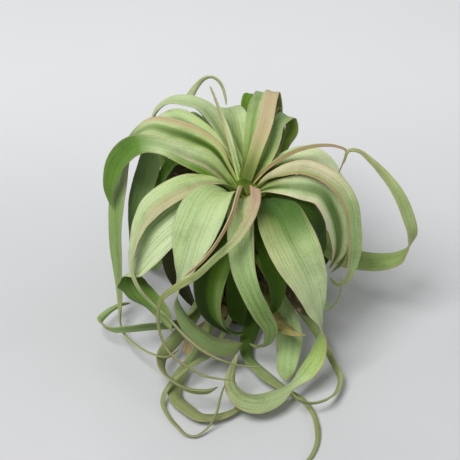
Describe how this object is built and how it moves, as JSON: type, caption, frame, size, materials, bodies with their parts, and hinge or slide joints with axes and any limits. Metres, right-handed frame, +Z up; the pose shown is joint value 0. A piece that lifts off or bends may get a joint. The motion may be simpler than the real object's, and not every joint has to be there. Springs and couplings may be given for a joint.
{
  "type": "air plant",
  "caption": "Curly air plant: channelled strap leaves arch out of a crown on a swollen bulb, curl down into a ball and taper to long looping tips.",
  "frame": {"origin": "centre of the flat foot of the bulb, where the plant rests", "axes": "+Z up through the crown, -Y towards the front"},
  "size_m": [0.148, 0.1701, 0.1042],
  "materials": {
    "leaf": "matte, powdery, silvery sage green with pink margins",
    "dry_leaf": "matte, papery, tan to olive brown",
    "bulb": "dull, fibrous, dark olive brown"
  },
  "bodies": {
    "root": {"bulb": "bulb", "leaf_front_pink": "leaf", "leaf_front_thin": "leaf", "leaf_front_center": "leaf", "leaf_front_left_broad": "leaf", "leaf_front_cupped": "leaf", "leaf_front_inner": "leaf", "leaf_front_right_inner": "leaf", "leaf_front_right_broad": "leaf", "leaf_right_inner": "leaf", "leaf_right_channelled": "leaf", "leaf_right_outer": "leaf", "leaf_right_pale": "leaf", "leaf_right_thin_pink": "leaf", "leaf_right_loop": "leaf", "leaf_right_behind": "leaf", "leaf_right_low": "leaf", "leaf_back_1": "leaf", "leaf_back_2": "leaf", "leaf_back_broad": "leaf", "leaf_back_3": "leaf", "leaf_back_curl": "leaf", "leaf_back_pink": "leaf", "leaf_back_4": "leaf", "leaf_back_5": "leaf", "leaf_top_tendril": "leaf", "leaf_back_6": "leaf", "leaf_back_7": "leaf", "leaf_left_arch_1": "leaf", "leaf_left_arch_2": "leaf", "leaf_left_arch_3": "leaf", "leaf_left_inner": "leaf", "leaf_left_crease": "leaf", "leaf_left_broad": "leaf", "leaf_left_loop": "leaf", "leaf_low_left_inner": "leaf", "leaf_low_left_outer": "leaf", "leaf_low_left_thin": "leaf", "leaf_low_right_loop": "leaf", "leaf_low_right": "leaf", "leaf_low_front": "leaf", "leaf_behind_left": "leaf", "leaf_behind_center": "leaf", "leaf_behind_center_2": "leaf", "leaf_behind_right": "leaf", "leaf_behind_low_left": "leaf", "leaf_behind_low_right": "leaf", "leaf_deep_left": "leaf", "dry_leaf_right": "dry_leaf", "dry_leaf_brown": "dry_leaf", "dry_leaf_left": "dry_leaf", "dry_leaf_back": "dry_leaf"}
  },
  "joints": []
}
